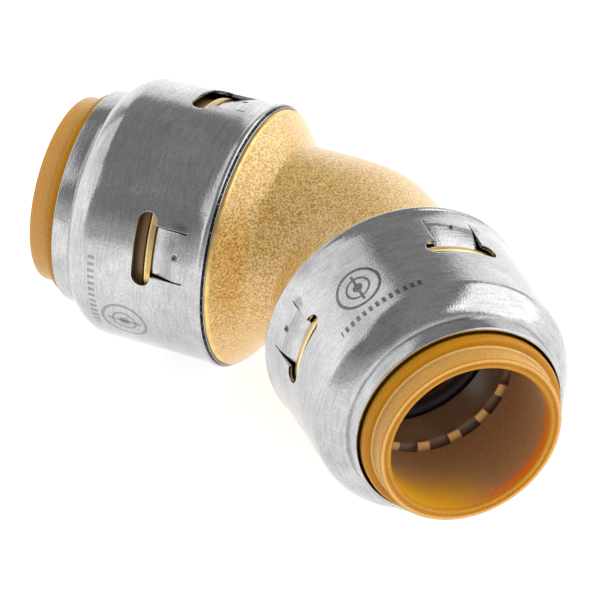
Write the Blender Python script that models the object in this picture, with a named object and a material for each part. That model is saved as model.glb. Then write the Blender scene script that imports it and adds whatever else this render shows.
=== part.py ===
"""Push-to-connect pipe elbow, 45 degrees, 3/4 in nominal, with two identical ends.

The bend centre, where the two end axes meet, is every piece's origin. Each end is
described by rings (s, r): s is the distance from the bend centre along the end's axis
and r the radius, both in millimetres. Theta turns from +Z towards the inside of the bend.
"""
import math

import bmesh
import bpy
from mathutils import Vector

MM = 0.001
HALF_BEND = math.radians(22.5)
RING_STEPS = 40
HIDDEN_STEPS = 32
SHARP_ANGLE = math.radians(32.0)
MERGE = 0.001

# Stainless sleeve, outer surface from the rim to the mouth; the sheet is even.
SHEET = 0.5
RIM_S = 14.6
RIM_R = 18.5
FLARE_END_S = 16.4
WALL_R_IN = 18.22
WALL_R_OUT = 18.0
SHOULDER_S = 32.0
CREASE_S = 35.9
CREASE_R = 14.95
NECK_R = 14.85
NECK_CORNER = 0.1
MOUTH_S = 38.4
SHOULDER_STEPS = 5
SHOULDER_POWER = 1.5

# Windows in the sleeve: an obround slot with a latch tab lanced on its inboard side.
WINDOW_COUNT = 4
WINDOW_THETA = math.radians(-20.5)
SLOT_S = 23.6
SLOT_HALF_WIDTH = 1.35
SLOT_HALF_LENGTH = 5.2
SLOT_END_STEPS = 5
TAB_HALF_WIDTH = 3.45
SLIT = 0.3
TAB_ROOT_S = 17.5
TAB_END_S = 22.2
TAB_SHEET = 0.4
TAB_EMBED = 0.9
TAB_DROP = 1.05
TAB_STEPS = 4
TAB_BENDS = (0.2, 0.45, 0.72, 1.0)
TAB_CURL = 1.4
CUT_INNER_R = 9.0
CUT_OUTER_R = 22.0

# Brass body.
PIPE_BEND_R = 13.95
PIPE_BEND_S = 9.3
BELL = [(10.2, 14.15), (11.1, 14.8), (12.0, 15.85), (12.9, 17.0), (13.4, 17.45), (13.9, 17.65)]
STRIP_END_S = 14.9
LAND_R = 17.3
GROOVE_S = 17.0
GROOVE_R = 15.9
GROOVE_END_S = 22.5
BODY_END_S = 23.5
COUNTERBORE_R = 14.1
COUNTERBORE_S = 17.2
SOCKET_R = 11.4
STOP_S = 14.1
WATERWAY_R = 9.7
WATERWAY_BEND_S = 8.0
BEND_STEPS = 7

# Release collar.
COLLAR_BORE_R = 11.2
COLLAR_NOSE_S = 29.1
COLLAR_TUBE_R = 12.9
COLLAR_FRONT_S = 42.7
COLLAR_FLANGE_R = 14.05
COLLAR_FLANGE_S = 39.8
COLLAR_CATCH_R = 15.2
COLLAR_CATCH_IN_S = 33.2
COLLAR_CATCH_OUT_S = 34.6
COLLAR_LIP = 0.25
COLLAR_FLANGE_CORNER = 0.4
COLLAR_CATCH_CORNER = 0.3
COLLAR_CATCH_RAMP = 0.2
COLLAR_DRAFT = 0.05
COLLAR_NOSE_LENGTH = 1.6
COLLAR_NOSE_WALL = 0.45

# Grab ring.
TOOTH_COUNT = 16
TOOTH_THETA = math.radians(-3.9)
TOOTH_TIP_R = 10.9
TOOTH_ROOT_R = 13.9
TOOTH_LEAN = 0.65
GRAB_RIM_R = 16.9
GRAB_S = 27.9
GRAB_SHEET = 0.4

# Seal ring and the two plastic rings that hold the grab ring.
SEAL_R = 12.35
SEAL_SECTION_R = 1.35
SEAL_S = 18.9
SEAL_STEPS = 10
GUARD_BORE_R = 11.5
GUARD_TUBE_R = 13.75
GUARD_IN_S = 21.1
GUARD_FLANGE_S = 23.9
GUARD_FLANGE_R = 16.3
GUARD_OUT_S = 27.6
GUARD_RELIEF_S = 26.6
GUARD_LIP_IN_R = 14.05
GUARD_LIP_OUT_R = 14.45
KEEPER_IN_S = 28.6
KEEPER_R = 17.2
KEEPER_BORE_R = 14.6
KEEPER_POCKET_S = 31.6
KEEPER_POCKET_R = 15.6
KEEPER_OUT_S = 34.0
KEEPER_LIP = 0.4
KEEPER_CORNER = 0.6


def shoulder_curve():
    """The rounded shoulder between the wall and the crease at the neck."""
    rings = []
    for i in range(SHOULDER_STEPS + 1):
        t = math.sin(0.5 * math.pi * i / SHOULDER_STEPS)
        fall = (1.0 - t ** SHOULDER_POWER) ** (1.0 / SHOULDER_POWER)
        s = SHOULDER_S + (CREASE_S - SHOULDER_S) * t
        rings.append((s, CREASE_R + (WALL_R_OUT - CREASE_R) * fall))
    return rings


def inset(rings, depth):
    """The same line moved inwards by the sheet's thickness."""
    moved = []
    for i, (s, r) in enumerate(rings):
        before = rings[max(i - 1, 0)]
        after = rings[min(i + 1, len(rings) - 1)]
        along = Vector((after[0] - before[0], after[1] - before[1])).normalized()
        moved.append((s + along.y * depth, r - along.x * depth))
    return moved


def sleeve_profile():
    outer = [(RIM_S, RIM_R), (FLARE_END_S, WALL_R_IN)]
    outer += shoulder_curve()
    outer += [(MOUTH_S, NECK_R)]
    inner = inset(outer[1:-2], SHEET)
    neck_in = NECK_R - SHEET
    inner = [(RIM_S, RIM_R - SHEET)] + inner
    inner += [(CREASE_S - NECK_CORNER, neck_in), (MOUTH_S, neck_in)]
    return outer + inner[::-1]


def collar_profile():
    return [
        (COLLAR_NOSE_S, COLLAR_BORE_R),
        (COLLAR_FRONT_S - COLLAR_LIP, COLLAR_BORE_R),
        (COLLAR_FRONT_S, COLLAR_BORE_R + COLLAR_LIP),
        (COLLAR_FRONT_S, COLLAR_TUBE_R - COLLAR_LIP),
        (COLLAR_FRONT_S - COLLAR_LIP, COLLAR_TUBE_R),
        (COLLAR_FLANGE_S + COLLAR_LIP, COLLAR_TUBE_R),
        (COLLAR_FLANGE_S, COLLAR_FLANGE_R - COLLAR_FLANGE_CORNER),
        (COLLAR_FLANGE_S - COLLAR_FLANGE_CORNER, COLLAR_FLANGE_R),
        (COLLAR_CATCH_OUT_S + COLLAR_CATCH_RAMP, COLLAR_FLANGE_R - COLLAR_DRAFT),
        (COLLAR_CATCH_OUT_S, COLLAR_CATCH_R - COLLAR_CATCH_CORNER),
        (COLLAR_CATCH_OUT_S - COLLAR_CATCH_CORNER, COLLAR_CATCH_R),
        (COLLAR_CATCH_IN_S, COLLAR_CATCH_R),
        (COLLAR_CATCH_IN_S, COLLAR_TUBE_R),
        (COLLAR_NOSE_S + COLLAR_NOSE_LENGTH, COLLAR_TUBE_R),
        (COLLAR_NOSE_S, COLLAR_BORE_R + COLLAR_NOSE_WALL),
    ]


def guard_profile():
    return [
        (GUARD_IN_S, GUARD_BORE_R),
        (GUARD_RELIEF_S, GUARD_BORE_R),
        (GUARD_RELIEF_S, GUARD_LIP_IN_R),
        (GUARD_OUT_S, GUARD_LIP_OUT_R),
        (GUARD_OUT_S, GUARD_FLANGE_R),
        (GUARD_FLANGE_S, GUARD_FLANGE_R),
        (GUARD_FLANGE_S, GUARD_TUBE_R),
        (GUARD_IN_S, GUARD_TUBE_R),
    ]


def keeper_profile():
    return [
        (KEEPER_IN_S, KEEPER_BORE_R),
        (KEEPER_POCKET_S, KEEPER_BORE_R),
        (KEEPER_POCKET_S, KEEPER_POCKET_R),
        (KEEPER_OUT_S, KEEPER_POCKET_R),
        (KEEPER_OUT_S, KEEPER_POCKET_R + KEEPER_LIP),
        (SHOULDER_S + KEEPER_CORNER, KEEPER_R - KEEPER_LIP),
        (SHOULDER_S - KEEPER_CORNER, KEEPER_R),
        (KEEPER_IN_S, KEEPER_R),
    ]


def seal_profile():
    rings = []
    for i in range(SEAL_STEPS):
        turn = 2.0 * math.pi * i / SEAL_STEPS
        rings.append((SEAL_S + SEAL_SECTION_R * math.cos(turn), SEAL_R + SEAL_SECTION_R * math.sin(turn)))
    return rings


def end_axis(side):
    """The way out of the end on the given side: +1 towards +X, -1 towards -X."""
    return Vector((side * math.cos(HALF_BEND), -math.sin(HALF_BEND), 0.0))


def inward_way(side):
    """Square to the end's axis, towards the inside of the bend."""
    return Vector((-side * math.sin(HALF_BEND), -math.cos(HALF_BEND), 0.0))


def point(side, s, r, theta):
    """A point of the end on the given side."""
    out = Vector((0.0, 0.0, math.cos(theta))) + inward_way(side) * math.sin(theta)
    return (end_axis(side) * s + out * r) * MM


def turn_of(side, place):
    """Theta of a place on the end."""
    return math.atan2(place.dot(inward_way(side)), place.z)


def bend_point(s, r, theta, t):
    """A point of the bend, from the right pipe (t = 0) to the left one (t = 1)."""
    start = point(1, s, r, theta)
    corner = point(1, r * math.sin(theta) * math.tan(HALF_BEND), r, theta)
    end = point(-1, s, r, theta)
    return start * (1.0 - t) ** 3 + corner * 3.0 * t * (1.0 - t) + end * t ** 3


def lowest_and_highest_y():
    """Limits in Y of the sleeve, collar and bend, for centring the bounding box."""
    rings = sleeve_profile() + collar_profile()
    sine = math.sin(HALF_BEND)
    cosine = math.cos(HALF_BEND)
    low = min(-s * sine - r * cosine for s, r in rings)
    high = max(-s * sine + r * cosine for s, r in rings)
    outside_of_bend = -0.5 * math.pi
    for i in range(BEND_STEPS + 1):
        place = bend_point(PIPE_BEND_S, PIPE_BEND_R, outside_of_bend, i / BEND_STEPS)
        high = max(high, place.y / MM)
    return low, high


def spun(side, profile, steps, start=0.0, closed=True):
    """A line of (s, r) points, spun once round the end's axis."""
    bm = bmesh.new()
    verts = [bm.verts.new(point(side, s, r, start)) for s, r in profile]
    pairs = zip(verts, verts[1:] + verts[:1]) if closed else zip(verts, verts[1:])
    for pair in pairs:
        bm.edges.new(pair)
    bmesh.ops.spin(
        bm, geom=bm.verts[:] + bm.edges[:], cent=(0.0, 0.0, 0.0), axis=end_axis(side),
        angle=2.0 * math.pi, steps=steps, use_merge=True,
    )
    bmesh.ops.remove_doubles(bm, verts=bm.verts, dist=MERGE * MM)
    return bm


def finish(name, bm, material):
    bmesh.ops.recalc_face_normals(bm, faces=bm.faces)
    mesh = bpy.data.meshes.new(name)
    bm.to_mesh(mesh)
    bm.free()
    mesh.shade_smooth()
    mesh.set_sharp_from_angle(angle=SHARP_ANGLE)
    obj = bpy.data.objects.new(name, mesh)
    bpy.context.scene.collection.objects.link(obj)
    obj.location = CENTRE
    if material:
        mesh.materials.append(material)
    return obj


def turned(name, side, profile, steps, material):
    """A ring-shaped piece turned about one end's axis."""
    return finish(name, spun(side, profile, steps), material)


def finish_material(name, colour, metallic, roughness):
    material = bpy.data.materials.new(name)
    material.use_nodes = True
    shader = material.node_tree.nodes["Principled BSDF"]
    shader.inputs["Base Color"].default_value = (*colour, 1.0)
    shader.inputs["Metallic"].default_value = metallic
    shader.inputs["Roughness"].default_value = roughness
    material.diffuse_color = (*colour, 1.0)
    return material


def bridge_bend(bm, s, r):
    """Joins the two open rims of radius r and bends the new skin between them."""
    rim = []
    for edge in bm.edges:
        middle = (edge.verts[0].co + edge.verts[1].co) * 0.5
        if edge.is_boundary and abs(middle.dot(end_axis(math.copysign(1.0, middle.x))) - s * MM) < MERGE * MM:
            rim.append(edge)
    bridged = bmesh.ops.bridge_loops(bm, edges=rim)
    made = bmesh.ops.subdivide_edges(
        bm, edges=bridged["edges"], cuts=BEND_STEPS - 1, use_grid_fill=True,
    )
    rim_x = point(1, s, r, 0.0).x
    for vert in {part for part in made["geom_inner"] if isinstance(part, bmesh.types.BMVert)}:
        inward = -(vert.co.y / MM + s * math.sin(HALF_BEND)) / math.cos(HALF_BEND)
        theta = math.atan2(inward, vert.co.z / MM)
        start_x = rim_x - r * math.sin(HALF_BEND) * math.sin(theta) * MM
        vert.co = bend_point(s, r, theta, (start_x - vert.co.x) / (2.0 * start_x))


def brass_body(material):
    """Half the body is spun and mirrored; the pipe and the waterway are then bridged."""
    line = [(PIPE_BEND_S, PIPE_BEND_R)] + BELL
    line += [(STRIP_END_S, BELL[-1][1]), (STRIP_END_S, LAND_R)]
    line += [(GROOVE_S, LAND_R), (GROOVE_S, GROOVE_R)]
    line += [(GROOVE_END_S, GROOVE_R), (GROOVE_END_S, LAND_R)]
    line += [(BODY_END_S, LAND_R), (BODY_END_S, COUNTERBORE_R)]
    line += [(COUNTERBORE_S, COUNTERBORE_R), (COUNTERBORE_S, SOCKET_R)]
    line += [(STOP_S, SOCKET_R), (STOP_S, WATERWAY_R), (WATERWAY_BEND_S, WATERWAY_R)]
    bm = spun(1, line, RING_STEPS, closed=False)
    copied = bmesh.ops.duplicate(bm, geom=bm.verts[:] + bm.edges[:] + bm.faces[:])["geom"]
    mirrored = [part for part in copied if isinstance(part, bmesh.types.BMVert)]
    bmesh.ops.scale(bm, vec=(-1.0, 1.0, 1.0), verts=mirrored)
    bridge_bend(bm, PIPE_BEND_S, PIPE_BEND_R)
    bridge_bend(bm, WATERWAY_BEND_S, WATERWAY_R)
    return finish("body", bm, material)


def window_outline():
    """Outline of the slot and tab opening, as (s, width) points."""
    straight = SLOT_HALF_LENGTH - SLOT_HALF_WIDTH
    outline = []
    for side_of_slot in (1, -1):
        for i in range(SLOT_END_STEPS + 1):
            turn = math.pi * i / SLOT_END_STEPS
            ds = SLOT_HALF_WIDTH * math.cos(turn) * side_of_slot
            across = side_of_slot * (straight + SLOT_HALF_WIDTH * math.sin(turn))
            outline.append((SLOT_S + ds, across))
        if side_of_slot == 1:
            opening = TAB_HALF_WIDTH + SLIT
            outline.append((SLOT_S - SLOT_HALF_WIDTH, opening))
            outline.append((TAB_ROOT_S, opening))
            outline.append((TAB_ROOT_S, -opening))
            outline.append((SLOT_S - SLOT_HALF_WIDTH, -opening))
    return outline


def window_cutter(name, side):
    """The four window outlines, each extruded outwards through the wall."""
    bm = bmesh.new()
    for k in range(WINDOW_COUNT):
        theta = WINDOW_THETA + 2.0 * math.pi * k / WINDOW_COUNT
        out = point(side, 0.0, 1.0, theta)
        across = point(side, 0.0, 1.0, theta + 0.5 * math.pi)
        along = point(side, 1.0, 0.0, theta)
        outline = [bm.verts.new(along * s + across * w + out * CUT_INNER_R) for s, w in window_outline()]
        grown = bmesh.ops.extrude_face_region(bm, geom=[bm.faces.new(outline)])
        moved = [part for part in grown["geom"] if isinstance(part, bmesh.types.BMVert)]
        bmesh.ops.translate(bm, verts=moved, vec=out * (CUT_OUTER_R - CUT_INNER_R))
    obj = finish(name, bm, None)
    hide(obj)
    return obj


def tab_line():
    """Middle of the tab's sheet: level inside the wall, then bent inwards."""
    wall = WALL_R_IN - 0.5 * SHEET
    line = [(TAB_ROOT_S - TAB_EMBED, wall), (TAB_ROOT_S, wall)]
    length = TAB_END_S - TAB_ROOT_S
    for t in TAB_BENDS:
        line.append((TAB_ROOT_S + length * t, wall - TAB_DROP * t ** TAB_CURL))
    return line


def tabs(name, side):
    """Each tab is a flat grid extruded to the sheet's thickness and wrapped on its line."""
    line = tab_line()
    rows = len(line) - 1
    bm = bmesh.new()
    for k in range(WINDOW_COUNT):
        theta = WINDOW_THETA + 2.0 * math.pi * k / WINDOW_COUNT
        flat = bmesh.ops.create_grid(bm, x_segments=rows, y_segments=TAB_STEPS, size=1.0)["verts"]
        faces = list({face for vert in flat for face in vert.link_faces})
        grown = bmesh.ops.extrude_face_region(bm, geom=faces)
        under = [part for part in grown["geom"] if isinstance(part, bmesh.types.BMVert)]
        bmesh.ops.translate(bm, verts=under, vec=(0.0, 0.0, -1.0))
        for vert in flat + under:
            s, r = line[round(rows * 0.5 * (vert.co.x + 1.0))]
            turn = theta + vert.co.y * TAB_HALF_WIDTH / WALL_R_IN
            vert.co = point(side, s, r + TAB_SHEET * (0.5 + vert.co.z), turn)
    obj = finish(name, bm, None)
    hide(obj)
    return obj


def hide(obj):
    obj.hide_render = True
    obj.display_type = "WIRE"


def combine(obj, other, operation):
    modifier = obj.modifiers.new(operation.lower(), "BOOLEAN")
    modifier.operation = operation
    modifier.solver = "EXACT"
    modifier.object = other


def sleeve(prefix, side, material):
    obj = turned(prefix + "_sleeve", side, sleeve_profile(), RING_STEPS, material)
    combine(obj, window_cutter(prefix + "_windows", side), "DIFFERENCE")
    combine(obj, tabs(prefix + "_tabs", side), "UNION")
    return obj


def grab_ring(name, side, material):
    """A flat rim, spun in steps of half a tooth's pitch; every second step grows a tooth."""
    steps = 2 * TOOTH_COUNT
    step = 2.0 * math.pi / steps
    rim = [(GRAB_S, TOOTH_ROOT_R), (GRAB_S, GRAB_RIM_R)]
    bm = spun(side, rim, steps, start=TOOTH_THETA - 0.5 * step, closed=False)
    roots = []
    for edge in bm.edges:
        middle = (edge.verts[0].co + edge.verts[1].co) * 0.5
        off_axis = (middle - end_axis(side) * GRAB_S * MM).length / MM
        place = round((turn_of(side, middle) - TOOTH_THETA) / step)
        if edge.is_boundary and off_axis < 0.5 * (TOOTH_ROOT_R + GRAB_RIM_R) and place % 2 == 0:
            roots.append(edge)
    grown = bmesh.ops.extrude_edge_only(bm, edges=roots)["geom"]
    for vert in {part for part in grown if isinstance(part, bmesh.types.BMVert)}:
        vert.co = point(side, GRAB_S - TOOTH_LEAN, TOOTH_TIP_R, turn_of(side, vert.co))
    grown = bmesh.ops.extrude_face_region(bm, geom=bm.faces[:])
    moved = [part for part in grown["geom"] if isinstance(part, bmesh.types.BMVert)]
    bmesh.ops.translate(bm, verts=moved, vec=end_axis(side) * GRAB_SHEET * MM)
    return finish(name, bm, material)


for old in list(bpy.data.objects):
    bpy.data.objects.remove(old, do_unlink=True)

Y_LOW, Y_HIGH = lowest_and_highest_y()
CENTRE = Vector((0.0, -0.5 * (Y_LOW + Y_HIGH) * MM, RIM_R * MM))

brass_body(finish_material("brass", (0.62, 0.42, 0.16), 1.0, 0.45))

for end_name, end_side in (("right", 1), ("left", -1)):
    steel = finish_material(end_name + "_stainless", (0.62, 0.62, 0.63), 1.0, 0.3)
    sleeve(end_name, end_side, steel)
    amber = finish_material(end_name + "_collar_plastic", (0.62, 0.33, 0.06), 0.0, 0.35)
    turned(end_name + "_collar", end_side, collar_profile(), RING_STEPS, amber)
    spring_steel = finish_material(end_name + "_tooth_steel", (0.6, 0.55, 0.48), 1.0, 0.3)
    grab_ring(end_name + "_grab_ring", end_side, spring_steel)
    rubber = finish_material(end_name + "_rubber", (0.02, 0.02, 0.022), 0.0, 0.6)
    turned(end_name + "_seal", end_side, seal_profile(), HIDDEN_STEPS, rubber)
    guard = finish_material(end_name + "_guard_plastic", (0.14, 0.09, 0.06), 0.0, 0.4)
    turned(end_name + "_seal_guard", end_side, guard_profile(), HIDDEN_STEPS, guard)
    keeper = finish_material(end_name + "_keeper_plastic", (0.16, 0.1, 0.07), 0.0, 0.4)
    turned(end_name + "_keeper", end_side, keeper_profile(), HIDDEN_STEPS, keeper)
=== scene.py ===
import math

import bmesh
import bpy
from mathutils import Euler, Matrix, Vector


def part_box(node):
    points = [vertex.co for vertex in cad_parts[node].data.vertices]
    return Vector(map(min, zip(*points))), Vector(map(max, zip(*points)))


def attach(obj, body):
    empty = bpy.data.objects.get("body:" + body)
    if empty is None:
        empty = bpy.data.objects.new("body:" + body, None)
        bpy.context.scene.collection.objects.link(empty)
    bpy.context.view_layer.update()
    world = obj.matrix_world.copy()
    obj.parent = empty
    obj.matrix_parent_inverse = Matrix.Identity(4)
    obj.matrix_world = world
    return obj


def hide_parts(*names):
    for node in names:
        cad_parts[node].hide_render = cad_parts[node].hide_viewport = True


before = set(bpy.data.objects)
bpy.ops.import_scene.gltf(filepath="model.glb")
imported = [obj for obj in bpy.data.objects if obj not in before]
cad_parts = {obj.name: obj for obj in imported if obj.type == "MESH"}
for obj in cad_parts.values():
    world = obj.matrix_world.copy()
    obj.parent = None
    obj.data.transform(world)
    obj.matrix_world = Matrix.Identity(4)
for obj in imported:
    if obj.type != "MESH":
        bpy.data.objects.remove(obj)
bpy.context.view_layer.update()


# The studio: an opal table lit from below, a dim room, large soft panels at the left and at the
# right, a low one behind, two fills that metal doesn't mirror, and a long lens looking down. None
# of it is part of the fitting. A finish is a material; node adds all but its plain maths.
MM = 0.001


class Signal:
    """One output of a finish's nodes; an expression on signals adds its Math nodes."""

    def __init__(self, finish, socket):
        self.finish = finish
        self.socket = socket

    def maths(self, operation, *values):
        return self.finish.node("ShaderNodeMath", {"operation": operation}, list(values))

    def __add__(self, other):
        return self.maths("ADD", self, other)

    def __sub__(self, other):
        return self.maths("SUBTRACT", self, other)

    def __rsub__(self, other):
        return self.maths("SUBTRACT", other, self)

    def __mul__(self, other):
        return self.maths("MULTIPLY", self, other)

    def __truediv__(self, other):
        return self.maths("DIVIDE", self, other)

    def __pow__(self, other):
        return self.maths("POWER", self, other)

    def __abs__(self):
        return self.maths("ABSOLUTE", self)

    __radd__ = __add__
    __rmul__ = __mul__

    def rise(self, low, high):
        """0 below low, 1 above high, smooth between; low may be the larger."""
        values = {"Value": self, "From Min": low, "From Max": high}
        return self.finish.node("ShaderNodeMapRange", {"interpolation_type": "SMOOTHSTEP"}, values)


class Nodes:
    """The nodes of a material or of the room."""

    def __init__(self, tree):
        self.tree = tree

    def node(self, kind, settings=None, inputs=None, output=0):
        """Adds one node: its settings first, then the values or links of its sockets."""
        node = self.tree.nodes.new(kind)
        for key, value in (settings or {}).items():
            setattr(node, key, value)
        pairs = inputs.items() if isinstance(inputs, dict) else enumerate(inputs or [])
        for key, value in pairs:
            self.feed(node.inputs[key], value)
        return Signal(self, node.outputs[output])

    def feed(self, socket, value):
        if isinstance(value, Signal):
            self.tree.links.new(value.socket, socket)
        else:
            socket.default_value = value


class Finish(Nodes):
    """A material made of nodes, on the piece's own place in metres."""

    def __init__(self, name, colour, roughness, **constants):
        self.material = bpy.data.materials.new(name)
        self.material.use_nodes = True
        super().__init__(self.material.node_tree)
        self.shader = self.tree.nodes["Principled BSDF"]
        self.set(Base_Color=(*colour, 1.0), Roughness=roughness, **constants)
        self.place = self.node("ShaderNodeTexCoord", output="Object")

    def set(self, **values):
        """Feeds the shader's own sockets; an underscore stands for a space."""
        for key, value in values.items():
            self.feed(self.shader.inputs[key.replace("_", " ")], value)

    def grain(self, size, detail=2.0, roughness=0.5, place=None):
        """Even noise from 0 to 1 with features of about the given size, in mm."""
        values = {"Vector": place or self.place, "Scale": 1.0 / (size * MM)}
        values.update({"Detail": detail, "Roughness": roughness})
        return self.node("ShaderNodeTexNoise", None, values)

    def mix(self, factor, first, second):
        """One colour turning into the other as the factor goes from 0 to 1."""
        colours = [c if isinstance(c, Signal) else (*c, 1.0) for c in (first, second)]
        values = {0: factor, 6: colours[0], 7: colours[1]}
        return self.node("ShaderNodeMix", {"data_type": "RGBA"}, values, output=2)

    def bump(self, height, depth):
        """The height signal, from 0 to 1, as a relief of that depth in mm."""
        normal = self.node("ShaderNodeBump", None, {"Distance": depth * MM, "Height": height})
        self.set(Normal=normal)


FLOOR_HALF_WIDTH = 6.0
FLOOR_DROP = 0.0001
PANEL_DISTANCE = 0.9
WHITE = (1.0, 1.0, 1.0, 1.0)

opal = Finish("opal_table", (0.42, 0.42, 0.42), 0.85)
opal.set(Emission_Color=WHITE, Emission_Strength=0.81)
opal.set(Base_Color=opal.mix(opal.grain(40.0), (0.42, 0.42, 0.42), (0.41, 0.41, 0.41)))
bm = bmesh.new()
bmesh.ops.create_grid(bm, x_segments=4, y_segments=4, size=FLOOR_HALF_WIDTH)
floor_mesh = bpy.data.meshes.new("floor")
bm.to_mesh(floor_mesh)
bm.free()
floor_mesh.materials.append(opal.material)
floor = bpy.data.objects.new("floor", floor_mesh)
floor.location.z = -FLOOR_DROP
bpy.context.scene.collection.objects.link(floor)

room = bpy.data.worlds.new("room")
room.use_nodes = True
room_nodes = Nodes(room.node_tree)
way = room_nodes.node("ShaderNodeTexCoord", output="Generated")
height = room_nodes.node("ShaderNodeSeparateXYZ", None, [way], output="Z")
glow = 0.29 + 0.36 * height.rise(0.5, 0.05)
room_nodes.feed(room.node_tree.nodes["Background"].inputs["Strength"], glow)
room.node_tree.nodes["Background"].inputs["Color"].default_value = WHITE
bpy.context.scene.world = room


def soft_panel(name, azimuth, elevation, width, height, brightness, mirrored=True):
    """A soft light on a sphere round the fitting, facing it; mirrored if the metal shows it."""
    light = bpy.data.lights.new(name, "AREA")
    light.shape = "RECTANGLE"
    light.size = width
    light.size_y = height
    light.energy = brightness * math.pi * width * height
    panel = bpy.data.objects.new(name, light)
    a, e = math.radians(azimuth), math.radians(elevation)
    out = Vector((math.cos(a) * math.cos(e), math.sin(a) * math.cos(e), math.sin(e)))
    panel.location = out * PANEL_DISTANCE
    panel.rotation_euler = out.to_track_quat("Z", "Y").to_euler()
    panel.visible_camera = False
    panel.visible_glossy = mirrored
    bpy.context.scene.collection.objects.link(panel)


soft_panel("left_panel", -152.0, 27.0, 1.15, 0.86, 0.66)
soft_panel("right_panel", 52.0, 30.0, 1.45, 0.95, 1.3)
soft_panel("back_panel", 132.0, 14.0, 0.95, 0.5, 0.62)
soft_panel("front_fill", -28.0, 30.0, 0.5, 0.5, 2.3, mirrored=False)
soft_panel("top_fill", 90.0, 74.0, 0.8, 0.8, 1.45, mirrored=False)

lens = bpy.data.cameras.new("camera")
lens.sensor_width = 36.0
lens.lens = 450.66
lens.clip_start = 0.05
lens.clip_end = 20.0
camera = bpy.data.objects.new("camera", lens)
camera.location = (0.59513, -0.55938, 0.61926)
camera.rotation_euler = Euler([math.radians(turn) for turn in (53.5485, 0.3162, 46.6609)])
bpy.context.scene.collection.objects.link(camera)
bpy.context.scene.camera = camera
bpy.context.scene.view_settings.view_transform = "Standard"


# The body is one brass forging with a tight 45 degree bend between two bells. The forged
# skin is shot-blasted; the strip under each steel rim, the land behind each window, the
# socket bores and the waterway are turned on a lathe and stay bright.
HALF_BEND = math.radians(22.5)
WINDOW_THETA, WINDOW_COUNT, WINDOW_PITCH = -20.5, 4, 90.0
seal_low, seal_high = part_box("right_seal")
seal_middle = (seal_low + seal_high) * 0.5
bend_centre = Vector((0.0, seal_middle.y + seal_middle.x * math.tan(HALF_BEND), seal_middle.z))


def end_axis(side):
    """The way out of an end: side is 1 for the right end and -1 for the left."""
    return Vector((side * math.cos(HALF_BEND), -math.sin(HALF_BEND), 0.0))


def on_end(side, s, r, theta=0.0):
    """The point s mm out along an end and r mm from its axis, turned theta from the top."""
    inward = Vector((-side * math.sin(HALF_BEND), -math.cos(HALF_BEND), 0.0))
    out = Vector((0.0, 0.0, math.cos(theta))) + inward * math.sin(theta)
    return bend_centre + (end_axis(side) * s + out * r) * MM


def seen_from_end(side, point):
    """A point's s in mm, the way out to it from the axis in mm, and its theta in degrees."""
    arm = point - bend_centre
    s = arm.dot(end_axis(side)) / MM
    radial = arm / MM - end_axis(side) * s
    inward = (on_end(side, 0.0, 1.0, 0.5 * math.pi) - bend_centre) / MM
    return s, radial, math.degrees(math.atan2(radial.dot(inward), radial.z))


def lathe(side, rings, steps, closed=True, corner_steps=4):
    """Spins a line about an end's axis. A ring is (s, r) and, for a rounded corner, its size."""
    bm = bmesh.new()
    verts = [bm.verts.new(on_end(side, ring[0], ring[1])) for ring in rings]
    for before, after in zip(verts, verts[1:] + verts[:1] if closed else verts[1:]):
        bm.edges.new((before, after))
    for vert, ring in zip(verts, rings):
        if len(ring) == 3:
            bmesh.ops.bevel(
                bm, geom=[vert], offset=ring[2] * MM, offset_type="OFFSET", affect="VERTICES",
                segments=corner_steps, profile=0.5, material=-1,
            )
    bmesh.ops.spin(
        bm, geom=bm.verts[:] + bm.edges[:], cent=bend_centre, axis=end_axis(side),
        angle=2.0 * math.pi, steps=steps, use_merge=True,
    )
    bmesh.ops.remove_doubles(bm, verts=bm.verts, dist=0.0001 * MM)
    return bm


def end_place(finish):
    """A finish's place on its end, in mm: out along the axis, across it, up, and the radius."""
    parts = finish.node("ShaderNodeSeparateXYZ", None, [finish.place])
    x, y, z = [Signal(finish, socket) for socket in parts.socket.node.outputs]
    x, y, z = abs(x / MM), y / MM - bend_centre.y / MM, z / MM - bend_centre.z / MM
    s = x * math.cos(HALF_BEND) - y * math.sin(HALF_BEND)
    across = x * math.sin(HALF_BEND) + y * math.cos(HALF_BEND)
    return s, across, z, (across * across + z * z) ** 0.5


def arc_from(finish, across, z, r, theta, pitch=360.0):
    """How far round the end a place is from the angle theta, in mm; pitch repeats it, in degrees."""
    half = math.radians(pitch) * 0.5
    turn = finish.node("ShaderNodeMath", {"operation": "ARCTAN2"}, [0.0 - across, z])
    return r * turn.maths("WRAP", turn - math.radians(theta), half, -half)


def rings_round(finish, s, across, z, fineness):
    """Noise drawn out round the axis, as a tool or a draw die leaves it."""
    vector = finish.node("ShaderNodeCombineXYZ", None, [s * fineness, across * 0.35, z * 0.35])
    return finish.node("ShaderNodeTexNoise", None, {"Vector": vector, "Scale": 1.0, "Detail": 3.0})


def piece(name, bm, finishes, body, node, sharp=38.0):
    """Makes the finished object, at the origin, riding on its body in place of its CAD node."""
    bmesh.ops.recalc_face_normals(bm, faces=bm.faces)
    mesh = bpy.data.meshes.new(name)
    bm.to_mesh(mesh)
    bm.free()
    mesh.shade_smooth()
    mesh.set_sharp_from_angle(angle=math.radians(sharp))
    for finish in finishes:
        mesh.materials.append(finish.material)
    made = bpy.data.objects.new(name, mesh)
    bpy.context.scene.collection.objects.link(made)
    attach(made, body)
    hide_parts(node)


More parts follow.
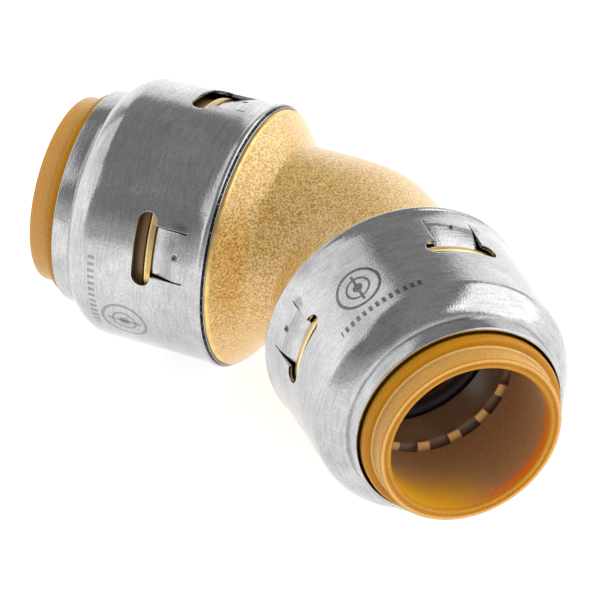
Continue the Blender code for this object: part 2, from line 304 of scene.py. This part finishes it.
SHOT_SIZE = 0.28
SHOT_STEP = (0.00007, -0.00005, 0.00009)
blasted = Finish("blasted_brass", (0.8, 0.5, 0.14), 0.5, Metallic=0.74, Coat_Weight=1.0)
blasted.set(Coat_IOR=1.75, Coat_Roughness=0.28)
shot = blasted.grain(SHOT_SIZE, 3.0, 0.7)
# Painted light and shade: the shot grain is compared with a shifted copy of itself, so one side of each
# grain gets a painted shadow and the other a painted highlight.
beside = blasted.node("ShaderNodeVectorMath", {"operation": "ADD"}, [blasted.place, SHOT_STEP])
facing = (shot - blasted.grain(SHOT_SIZE, 3.0, 0.7, place=beside)).rise(-0.1, 0.1)
cloud = blasted.grain(4.0, 3.0, 0.6)
tone = blasted.mix(cloud.rise(0.3, 0.7), (1.0, 0.54, 0.07), (1.0, 0.64, 0.15))
tone = blasted.mix(shot.rise(0.47, 0.34) * 0.7, tone, (0.38, 0.18, 0.02))
# Painted shadow on the shaded side of each grain.
tone = blasted.mix(facing.rise(0.5, 0.0) * 0.8, tone, (0.46, 0.2, 0.02))
# Painted highlight, cream, on the lit side of each grain.
blasted.set(Base_Color=blasted.mix(facing.rise(0.5, 1.0) * 0.8, tone, (1.0, 0.84, 0.42)))
blasted.set(Roughness=0.36 + shot * 0.2 + cloud * 0.06)
blasted.bump(shot + cloud * 0.5, 0.2)

turned_brass = Finish("turned_brass", (0.8, 0.52, 0.16), 0.3, Metallic=1.0)
s_place, across, z_place, r_place = end_place(turned_brass)
tooling = rings_round(turned_brass, s_place + r_place, across, z_place, 9.0)
stain = turned_brass.grain(1.6, 3.0, 0.6)
bright_brass = turned_brass.mix(stain.rise(0.3, 0.7), (0.84, 0.54, 0.16), (0.98, 0.74, 0.34))
off_tab = abs(arc_from(turned_brass, across, z_place, r_place, WINDOW_THETA, WINDOW_PITCH))
# Painted highlight: a bright line along the land's outer corner, where the edge catches the light.
painted_corner_highlight = s_place.rise(23.15, 23.25) * r_place.rise(17.05, 17.15)
bright_brass = turned_brass.mix(painted_corner_highlight, bright_brass, (1.0, 0.84, 0.46))
# Painted shadow: the land's top is darker within each tab's width, where the bent-in tab shades it.
painted_tab_shadow = off_tab.rise(3.6, 3.3) * s_place.rise(23.25, 23.1) * s_place.rise(22.0, 22.2)
turned_brass.set(Base_Color=turned_brass.mix(painted_tab_shadow * 0.6, bright_brass, (0.5, 0.33, 0.15)))
turned_brass.set(Roughness=0.28 + tooling * 0.14 + stain * 0.08)
turned_brass.bump(tooling, 0.012)

PIPE_S, PIPE_R = 9.3, 13.87
WATERWAY_S, WATERWAY_R = 8.0, 9.7
STRIP_FROM_S, BRIGHT_BORE_R = 13.56, 12.0
BODY_STEPS, BEND_CUTS = 160, 23
outer_line = [
    (PIPE_S, PIPE_R), (9.9, 13.96, 0.3), (10.6, 14.38, 0.35), (11.3, 15.0, 0.35), (12.1, 15.98, 0.4),
    (13.55, 17.6), (13.84, 17.86, 0.12), (14.9, 17.86, 0.1), (14.9, 17.3),
]
land_line = [
    (17.0, 17.3, 0.1), (17.0, 15.9), (22.5, 15.9, 0.3), (22.5, 17.3, 0.12), (23.5, 17.3, 0.22),
    (23.5, 14.1, 0.3), (17.2, 14.1, 0.3), (17.2, 11.4, 0.3), (14.1, 11.4, 0.15),
    (14.1, WATERWAY_R, 0.3), (WATERWAY_S, WATERWAY_R),
]


def on_circle(edge, s, r):
    """Whether an edge lies on the circle of radius r, s mm out along its own end."""
    for vert in edge.verts:
        centre = bend_centre + end_axis(math.copysign(1, vert.co.x)) * s * MM
        if abs((vert.co - centre).length - r * MM) > 0.01 * MM:
            return False
    return True


bm = lathe(1, outer_line + land_line, BODY_STEPS, closed=False)
mirrored = bmesh.ops.duplicate(bm, geom=bm.verts[:] + bm.edges[:] + bm.faces[:])
copied = [g for g in mirrored["geom"] if isinstance(g, bmesh.types.BMVert)]
bmesh.ops.scale(bm, vec=(-1.0, 1.0, 1.0), verts=copied)
open_edges = [edge for edge in bm.edges if edge.is_boundary]
for s, r in ((PIPE_S, PIPE_R), (WATERWAY_S, WATERWAY_R)):
    ring = [edge for edge in open_edges if on_circle(edge, s, r)]
    bridged = bmesh.ops.bridge_loops(bm, edges=ring)
    cut = bmesh.ops.subdivide_edges(bm, edges=bridged["edges"], cuts=BEND_CUTS, use_grid_fill=True)
    for vert in {g for g in cut["geom_inner"] if isinstance(g, bmesh.types.BMVert)}:
        up = (vert.co.z - bend_centre.z) / (r * MM)
        inward = (vert.co.y - bend_centre.y) / MM + s * math.sin(HALF_BEND)
        inward = -inward / (r * math.cos(HALF_BEND))
        theta = math.atan2(inward, up)
        start = on_end(1, s, r, theta)
        mitre = on_end(1, r * inward * math.tan(HALF_BEND), r, theta)
        t = (start.x - vert.co.x) / (2.0 * start.x)
        ends = (1.0 - t) ** 3 + t ** 3
        vert.co.y = start.y * ends + mitre.y * (1.0 - ends)
        vert.co.z = start.z * ends + mitre.z * (1.0 - ends)
        vert.co.x = start.x * ((1.0 - t) ** 3 - t ** 3)
for face in bm.faces:
    middle = face.calc_center_median() - bend_centre
    s = middle.dot(end_axis(math.copysign(1, middle.x))) / MM
    r = math.sqrt(max(middle.length_squared / MM ** 2 - s * s, 0.0))
    face.material_index = 1 if s > STRIP_FROM_S or r < BRIGHT_BORE_R else 0
piece("brass_elbow", bm, [blasted, turned_brass], "fitting", "body", sharp=34.0)


# Each end has a drawn stainless sleeve, 0.5 mm sheet, pushed over the brass and locked by four
# tabs. Each tab is lanced from the sheet beside an obround slot and bent in behind the brass
# land; a punched dimple marks where it bends. The rim is flared and the shoulder is spun in.
ENDS = (("right", 1), ("left", -1))
SHEET, SLEEVE_STEPS = 0.5, 256
SLOT_S, SLOT_WIDTH, SLOT_LENGTH = 23.6, 2.7, 10.4
SLOT_ROUNDING, CUT_R, CUT_DEPTH = 0.4999, 17.8, 8.0
TAB_ROOT_S, TAB_BEND_S, TAB_END_S = 17.5, 18.5, 22.25
TAB_HALF_WIDTH, TAB_DROP, TAB_REACH, SLIT = 3.45, 1.06, 0.17, 0.16
DIMPLE_S, DIMPLE_R, PUNCH_R = 18.9, 18.46, 0.52
DENT_OFF, DENT_S = 4.2, 18.7
EDGE_ROUND, LIP_END_S, LIP_R, LIP_TURN = 0.07, 25.2, 17.9, 0.9
SHOULDER_S, CREASE_S, CREASE_R, WALL_OUT_R = 32.0, 35.9, 14.95, 18.0
NECK_END_S, NECK_OUT_R, NECK_IN_R = 38.4, 14.87, 14.36
TARGET_RINGS, TARGET_DOT_R, CROSS_R = ((3.2, 0.28), (1.7, 0.22)), 0.8, 2.6
TICK_ROW, TICK_LENGTH, TICKS_PER_MM = 6.6, 0.55, 6.0

steel = Finish("satin_stainless", (0.62, 0.62, 0.625), 0.2, Metallic=1.0)
fine = steel.grain(0.3, 3.0, 0.7)
drawn = steel.grain(2.4, 4.0, 0.6)
broad = steel.grain(8.0, 1.0, 0.5)
s_place, across, z_place, r_place = end_place(steel)
streak = rings_round(steel, s_place, across, z_place, 3.5)
shade = steel.mix(fine.rise(0.32, 0.68), (0.53, 0.53, 0.54), (0.7, 0.7, 0.695))
shade = steel.mix(drawn.rise(0.45, 0.65) * 0.2, shade, (0.34, 0.34, 0.35))
shade = steel.mix(streak.rise(0.48, 0.62) * 0.24 + broad.rise(0.4, 0.6) * 0.22, shade, (0.3, 0.3, 0.31))
sheared = s_place.rise(14.9, 14.86) * r_place.rise(18.03, 18.07) * r_place.rise(18.34, 18.28)
shade = steel.mix(sheared * (0.5 + 0.5 * fine.rise(0.36, 0.46)), shade, (0.012, 0.012, 0.014))

# Marks on the sheet: painted shade on each tab where it bends, in its dimple and in a dent beside it,
# and a laser-etched target of two rings with a row of short ticks beside it, in a different place on
# each sleeve.
off_tab = arc_from(steel, across, z_place, r_place, WINDOW_THETA, WINDOW_PITCH)
on_tab = abs(off_tab).rise(TAB_HALF_WIDTH + 0.05, TAB_HALF_WIDTH - 0.15)
# Painted shade across each tab where it bends in and its surface tilts away from the light.
painted_bend_shade = on_tab * s_place.rise(18.95, 19.4) * s_place.rise(21.9, 19.4)
past_dimple = s_place - DIMPLE_S
dimple_arm = (off_tab * off_tab + past_dimple * past_dimple) ** 0.5
off_dent = off_tab + DENT_OFF
past_dent = s_place - DENT_S
dent_arm = (off_dent * off_dent + past_dent * past_dent * 0.4) ** 0.5
# Painted shade in each dimple and, speckled, in a dent beside each tab.
painted_tab_shade = painted_bend_shade * 0.34 + dimple_arm.rise(0.5, 0.26)
painted_tab_shade = painted_tab_shade + dent_arm.rise(1.0, 0.2) * fine.rise(0.3, 0.6) * 0.8
shade = steel.mix(painted_tab_shade.maths("MINIMUM", painted_tab_shade, 1.0), shade, (0.13, 0.13, 0.135))
x_place = steel.node("ShaderNodeSeparateXYZ", None, [steel.place])
on_right = x_place.rise(-0.001, 0.001)
etched = 0.0
for target_s, target_theta, tick_s, tick_theta, here in (
    (25.4, 31.0, 30.2, 27.0, on_right), (26.6, 111.0, 31.0, 98.0, 0.6 - 0.6 * on_right),
):
    arc = arc_from(steel, across, z_place, r_place, target_theta)
    past_target = s_place - target_s
    arm = (arc * arc + past_target * past_target) ** 0.5
    rings = [abs(arm - ring_r).rise(width, width - 0.1) for ring_r, width in TARGET_RINGS]
    target = rings[0] + rings[1] + abs(arc).rise(0.26, 0.16) * arm.rise(CROSS_R, CROSS_R - 0.1)
    target = target + arm.rise(TARGET_DOT_R, TARGET_DOT_R - 0.1)
    tick_arc = arc_from(steel, across, z_place, r_place, tick_theta)
    ticks = tick_arc.maths("SINE", tick_arc * TICKS_PER_MM).rise(-0.15, 0.15)
    ticks = ticks * abs(tick_arc).rise(TICK_ROW, TICK_ROW - 0.1)
    ticks = ticks * abs(s_place - tick_s).rise(TICK_LENGTH, TICK_LENGTH - 0.1)
    etched = etched + here * (target + ticks)
etched = etched.maths("MINIMUM", etched, 1.0) * (0.55 + 0.4 * fine.rise(0.3, 0.6))
etched = etched * r_place.rise(17.9, 17.95)
shade = steel.mix(etched, shade, (0.1, 0.1, 0.105))
steel.set(Base_Color=shade)
steel.set(Roughness=0.04 + fine * 0.05 + drawn * 0.04 + sheared * 0.1 + etched * 0.25)
steel.bump(fine * 1.5 + drawn * 2.4 + broad * 5.0 + streak * 0.8, 0.012)


def shoulder(thickness, steps):
    """The spun shoulder's rings, from the wall to the crease at the neck."""
    rings = []
    for i in range(steps):
        t = math.sin(0.5 * math.pi * i / steps)
        fall = (1.0 - t ** 1.5) ** (1.0 / 1.5)
        s = SHOULDER_S + (CREASE_S - SHOULDER_S - thickness * 0.7) * t
        rings.append((s, CREASE_R - thickness + (WALL_OUT_R - CREASE_R) * fall))
    return rings


def window_block(bm, side, theta, s, across, length, width, rounding):
    """A block through the wall: length round the sleeve, width along it, both in mm."""
    made = bmesh.ops.create_cube(bm, size=1.0)["verts"]
    bmesh.ops.scale(bm, vec=(width * MM, length * MM, CUT_DEPTH * MM), verts=made)
    if rounding:
        edges = {edge for vert in made for edge in vert.link_edges}
        upright = {edge for edge in edges if abs(edge.verts[0].co.z - edge.verts[1].co.z) > MM}
        rounded = bmesh.ops.bevel(
            bm, geom=list(upright), offset=rounding * MM, offset_type="OFFSET", affect="EDGES",
            segments=14, profile=0.5, material=-1,
        )
        made = list({v for face in rounded["faces"] for v in face.verts})
    axis, out = end_axis(side), (on_end(side, 0.0, 1.0, theta) - bend_centre) / MM
    across_way = (on_end(side, 0.0, 1.0, theta + 0.5 * math.pi) - bend_centre) / MM
    middle = on_end(side, s, CUT_R, theta) + across_way * across * MM
    for vert in made:
        x, y, z = vert.co
        vert.co = middle + axis * x + across_way * y + out * z


def cutter(side, kind):
    """The tool for a sleeve's slots, for the two slits beside each tab, or for the dimples."""
    bm = bmesh.new()
    for k in range(WINDOW_COUNT):
        theta = math.radians(WINDOW_THETA + WINDOW_PITCH * k)
        if kind == "slots":
            rounding = SLOT_WIDTH * SLOT_ROUNDING
            window_block(bm, side, theta, SLOT_S, 0.0, SLOT_LENGTH, SLOT_WIDTH, rounding)
        if kind == "slits":
            for edge in (-1, 1):
                across = edge * (TAB_HALF_WIDTH + 0.5 * SLIT)
                reach = SLOT_S - TAB_ROOT_S
                window_block(bm, side, theta, TAB_ROOT_S + 0.5 * reach, across, SLIT, reach, 0.0)
        if kind == "dimples":
            punch = bmesh.ops.create_icosphere(bm, subdivisions=3, radius=PUNCH_R * MM)["verts"]
            bmesh.ops.translate(bm, verts=punch, vec=on_end(side, DIMPLE_S, DIMPLE_R, theta))
    bmesh.ops.recalc_face_normals(bm, faces=bm.faces)
    mesh = bpy.data.meshes.new(kind)
    bm.to_mesh(mesh)
    bm.free()
    tool = bpy.data.objects.new(kind, mesh)
    bpy.context.scene.collection.objects.link(tool)
    return tool


for end, side in ENDS:
    wall = [(16.6, 18.2)]
    wall += [(17.0 + 0.375 * i, 18.2 - 0.0125 * (1.0 + 0.375 * i)) for i in range(25)]
    wall += [(27.5 + i, 18.05 - 0.0125 * i) for i in range(5)]
    outside = [(14.85, 18.5, 0.15), (15.2, 18.48, 0.2), (15.5, 18.36, 0.3)]
    outside += wall + shoulder(0.0, 14)
    outside += [(CREASE_S - 0.05, CREASE_R + 0.02, 0.25), (NECK_END_S, NECK_OUT_R, 0.15)]
    inside = [(14.15, 17.96, 0.08), (15.4, 17.92, 0.3)]
    inside += [(s, r - SHEET) for s, r in wall + shoulder(SHEET, 8)[:7]]
    inside += [(CREASE_S - 0.5, CREASE_R - 0.1, 0.2), (CREASE_S, NECK_IN_R, 0.2)]
    inside += [(NECK_END_S, NECK_IN_R, 0.15)]
    bm = lathe(side, outside + inside[::-1], SLEEVE_STEPS)
    bmesh.ops.recalc_face_normals(bm, faces=bm.faces)
    mesh = bpy.data.meshes.new("drawn")
    bm.to_mesh(mesh)
    bm.free()
    drawn_sleeve = bpy.data.objects.new("drawn", mesh)
    bpy.context.scene.collection.objects.link(drawn_sleeve)
    tools = [cutter(side, kind) for kind in ("slots", "slits", "dimples")]
    for tool in tools:
        cut = drawn_sleeve.modifiers.new("cut", "BOOLEAN")
        cut.operation, cut.solver, cut.object = "DIFFERENCE", "EXACT", tool
    bpy.context.view_layer.update()
    pressed = drawn_sleeve.evaluated_get(bpy.context.evaluated_depsgraph_get())
    bm = bmesh.new()
    bm.from_mesh(pressed.to_mesh())
    pressed.to_mesh_clear()
    for spare in [drawn_sleeve] + tools:
        bpy.data.objects.remove(spare)
    bmesh.ops.remove_doubles(bm, verts=bm.verts, dist=0.004 * MM)
    lips = []
    for edge in bm.edges:
        s, radial, _ = seen_from_end(side, (edge.verts[0].co + edge.verts[1].co) * 0.5)
        by_window = TAB_ROOT_S - 0.1 < s < LIP_END_S and radial.length > LIP_R
        if by_window and len(edge.link_faces) == 2 and edge.calc_face_angle() > LIP_TURN:
            lips.append(edge)
    bmesh.ops.bevel(
        bm, geom=lips, offset=EDGE_ROUND * MM, offset_type="OFFSET", affect="EDGES",
        segments=2, profile=0.5, material=-1,
    )
    for vert in bm.verts:
        s, radial, theta = seen_from_end(side, vert.co)
        half = 0.5 * WINDOW_PITCH
        off = (theta - WINDOW_THETA + half) % WINDOW_PITCH - half
        across = abs(radial.length * math.sin(math.radians(off)))
        on_tab = across <= TAB_HALF_WIDTH + 0.3 * SLIT
        if on_tab and TAB_ROOT_S < s < TAB_END_S + 0.1:
            bend = max(s - TAB_BEND_S, 0.0) / (TAB_END_S - TAB_BEND_S)
            along = end_axis(side) * TAB_REACH * bend * MM
            vert.co += along - radial.normalized() * TAB_DROP * bend ** 1.2 * MM
    piece(end + "_steel_sleeve", bm, [steel], "fitting", end + "_sleeve", sharp=30.0)


# The release collar is a moulded amber plastic ring that slides in the mouth of the sleeve:
# pushed in, its nose opens the teeth. It has a flange outside, a plain tube with a lipped
# front, and a catch inside that keeps it from falling out.
amber = Finish("amber_plastic", (0.54, 0.24, 0.004), 0.24, IOR=1.5, Specular_IOR_Level=0.25)
amber.set(Subsurface_Weight=0.4, Subsurface_Scale=0.003, Subsurface_Radius=(1.0, 0.36, 0.08))
flow = amber.grain(6.0, 2.0, 0.5)
speck = amber.grain(0.35, 2.0, 0.5)
s_place, across, z_place, r_place = end_place(amber)
amber_tone = amber.mix(flow, (0.42, 0.175, 0.001), (0.54, 0.25, 0.004))
amber_tone = amber.mix(speck.rise(0.55, 0.8) * 0.16, amber_tone, (0.5, 0.22, 0.01))
bore = r_place.rise(11.5, 11.3) * s_place.rise(42.5, 42.1)
deep_amber = amber.mix(speck.rise(0.2, 0.8), (0.42, 0.225, 0.1), (0.56, 0.305, 0.15))
# Painted light in the bore: a yellow pool on one side and an orange-red glow on the other, where light
# comes in and falls on it.
painted_bore_light = ((0.0 - across * 0.6 - z_place * 0.8) / r_place).rise(0.4, 1.0) * s_place.rise(32.0, 41.0)
painted_bore_glow = ((across * 0.9 - z_place * 0.44) / r_place).rise(0.35, 1.0) * s_place.rise(40.0, 42.3)
deep_amber = amber.mix(painted_bore_light, deep_amber, (0.85, 0.44, 0.02))
deep_amber = amber.mix(painted_bore_glow, deep_amber, (0.85, 0.22, 0.01))
amber_tone = amber.mix(bore, amber_tone, deep_amber)
# Painted shadow: near-black on the flange just inside the sleeve's mouth, where the gap is in shade.
painted_gap_shadow = s_place.rise(38.75, 38.35) * r_place.rise(13.5, 13.7)
amber_tone = amber.mix(painted_gap_shadow * 0.9, amber_tone, (0.03, 0.012, 0.001))
# Painted highlights: cream lines at the flange's corner by the tube and round the front lip, where the
# edges catch the light.
painted_edge_highlight = r_place.rise(12.86, 12.96) * r_place.rise(13.12, 13.02) * s_place.rise(39.7, 39.9)
painted_edge_highlight = painted_edge_highlight + s_place.rise(42.6, 42.67) * 0.6
amber.set(Base_Color=amber.mix(painted_edge_highlight * (0.4 + 0.5 * speck), amber_tone, (0.95, 0.7, 0.34)))
amber.set(Roughness=0.22 + speck * 0.12 + bore * 0.25)
amber.bump(speck * 0.4 + flow, 0.01)

COLLAR_STEPS, BORE_R, TUBE_R, FLANGE_S = 192, 11.2, 12.9, 39.8
lipped_front = [
    (42.28, BORE_R, 0.15), (42.58, 11.35, 0.12), (42.64, 11.75, 0.1), (42.48, 11.95, 0.08),
    (42.48, 12.15, 0.08), (42.67, 12.35, 0.15), (42.67, TUBE_R, 0.25), (40.0, TUBE_R, 0.15),
]
flange = [(FLANGE_S, 13.1, 0.1), (FLANGE_S, 14.05, 0.45), (34.8, 14.0)]
catch = [(34.6, 14.9, 0.1), (34.3, 15.2, 0.1), (33.2, 15.2, 0.1), (33.2, TUBE_R, 0.15)]
nose = [(30.7, TUBE_R, 0.3), (29.1, 11.7, 0.15)]
for end, side in ENDS:
    collar_line = [(29.1, BORE_R, 0.1)] + lipped_front + flange + catch + nose
    bm = lathe(side, collar_line, COLLAR_STEPS, corner_steps=3)
    piece(end + "_amber_collar", bm, [amber], end + "_release", end + "_collar")


# The grab ring is stamped from spring steel: a flat rim clamped between the two plastic rings,
# and sixteen square teeth that lean inboard, so the pipe slides in over them and can't back out.
# The teeth are spring steel in shade. Their bright orange non-metal colour is a painted reflection of
# the amber collar and painted light from down the bore.
tooth_steel_painted_amber = Finish("tooth_steel_painted_amber", (1.0, 0.66, 0.34), 0.34)
stroke = tooth_steel_painted_amber.grain(0.25, 2.0, 0.6)
tooth_steel_painted_amber.set(Base_Color=tooth_steel_painted_amber.mix(stroke, (1.0, 0.5, 0.17), (1.0, 0.64, 0.27)))
tooth_steel_painted_amber.set(Roughness=0.28 + stroke * 0.14)
tooth_steel_painted_amber.bump(stroke, 0.006)

TEETH, STEPS_PER_TOOTH = 16, 16
TOOTH_PITCH, FIRST_TOOTH, TOOTH_SHARE = 360.0 / TEETH, -3.9, 0.42
RING_FRONT_S, RING_IN_R, RING_OUT_R, RING_SHEET = 28.3, 13.9, 16.9, 0.4
TOOTH_LENGTH, TOOTH_LEANS = 3.0, ((0.5, 0.2), (1.0, 0.65))
for end, side in ENDS:
    bm = bmesh.new()
    start = math.radians(FIRST_TOOTH - 0.25 * TOOTH_PITCH)
    inner = bm.verts.new(on_end(side, RING_FRONT_S, RING_IN_R, start))
    outer = bm.verts.new(on_end(side, RING_FRONT_S, RING_OUT_R, start))
    bm.edges.new((inner, outer))
    bmesh.ops.spin(
        bm, geom=bm.verts[:] + bm.edges[:], cent=bend_centre, axis=end_axis(side),
        angle=2.0 * math.pi, steps=TEETH * STEPS_PER_TOOTH, use_merge=True,
    )
    bmesh.ops.remove_doubles(bm, verts=bm.verts, dist=0.0001 * MM)
    roots = []
    for edge in bm.edges:
        _, radial, theta = seen_from_end(side, (edge.verts[0].co + edge.verts[1].co) * 0.5)
        half = 0.5 * TOOTH_PITCH
        off_tooth = abs((theta - FIRST_TOOTH + half) % TOOTH_PITCH - half)
        on_inner_rim = edge.is_boundary and radial.length < 0.5 * (RING_IN_R + RING_OUT_R)
        if on_inner_rim and off_tooth < TOOTH_SHARE * half:
            roots.append(edge)
    for share, lean in TOOTH_LEANS:
        grown = bmesh.ops.extrude_edge_only(bm, edges=roots)["geom"]
        tips = {g for g in grown if isinstance(g, bmesh.types.BMVert)}
        edges = [g for g in grown if isinstance(g, bmesh.types.BMEdge)]
        roots = [edge for edge in edges if edge.is_boundary and tips.issuperset(edge.verts)]
        for vert in tips:
            _, radial, _ = seen_from_end(side, vert.co)
            out = radial.normalized() * (RING_IN_R - TOOTH_LENGTH * share)
            vert.co = bend_centre + (end_axis(side) * (RING_FRONT_S - lean) + out) * MM
    bmesh.ops.recalc_face_normals(bm, faces=bm.faces)
    bmesh.ops.solidify(bm, geom=bm.faces[:], thickness=RING_SHEET * MM)
    piece(
        end + "_toothed_ring", bm, [tooth_steel_painted_amber], end + "_grip",
        end + "_grab_ring", sharp=45.0,
    )


# Behind the teeth a brown plastic guard carries the pipe past the seal, and the black rubber
# seal lies in the brass. The brown keeper ring in front holds the grab ring against the guard;
# only its edge shows, so the plain ring stays and gets the same moulded plastic.
brown = Finish("brown_plastic", (0.2, 0.12, 0.07), 0.3)
fleck = brown.grain(0.4, 2.0, 0.6)
s_place, _, _, r_place = end_place(brown)
deep_brown = brown.mix(fleck, (0.2, 0.115, 0.07), (0.25, 0.15, 0.095))
# Painted shade: the guard's flange, seen through the slots, runs from lighter inboard to near-black
# outboard, where the slot's wall shades it.
lit = brown.mix(s_place.rise(25.6, 23.9), (0.05, 0.03, 0.015), (0.24, 0.13, 0.045))
brown.set(Base_Color=brown.mix(r_place.rise(14.6, 15.4), deep_brown, lit))
brown.set(Roughness=0.24 + fleck * 0.14)
brown.bump(fleck + brown.grain(5.0) * 2.0, 0.004)
rubber = Finish("black_rubber", (0.022, 0.017, 0.024), 0.4)
bloom = rubber.grain(0.5, 3.0, 0.6)
rubber.set(Base_Color=rubber.mix(bloom, (0.016, 0.012, 0.018), (0.032, 0.026, 0.034)))
rubber.set(Roughness=0.34 + bloom * 0.2)
rubber.bump(bloom, 0.01)

GUARD_STEPS, SEAL_STEPS, SEAL_CORD_STEPS = 128, 128, 20
SEAL_S, SEAL_R, SEAL_CORD_R = 18.9, 12.35, 1.35
guard_line = [
    (21.1, 11.5, 0.35), (26.6, 11.5, 0.25), (27.2, 12.6, 0.2), (27.2, 14.3, 0.2),
    (27.6, 14.5, 0.1), (27.6, 16.6, 0.15), (23.9, 16.6, 0.2), (23.9, 13.75, 0.3), (21.1, 13.75, 0.3),
]
turns = [2.0 * math.pi * i / SEAL_CORD_STEPS for i in range(SEAL_CORD_STEPS)]
seal_line = [(SEAL_S + SEAL_CORD_R * math.cos(t), SEAL_R + SEAL_CORD_R * math.sin(t)) for t in turns]
for end, side in ENDS:
    bm = lathe(side, guard_line, GUARD_STEPS)
    piece(end + "_brown_guard", bm, [brown], "fitting", end + "_seal_guard")
    bm = lathe(side, seal_line, SEAL_STEPS)
    piece(end + "_rubber_seal", bm, [rubber], "fitting", end + "_seal")
    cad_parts[end + "_keeper"].data.materials.clear()
    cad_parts[end + "_keeper"].data.materials.append(brown.material)
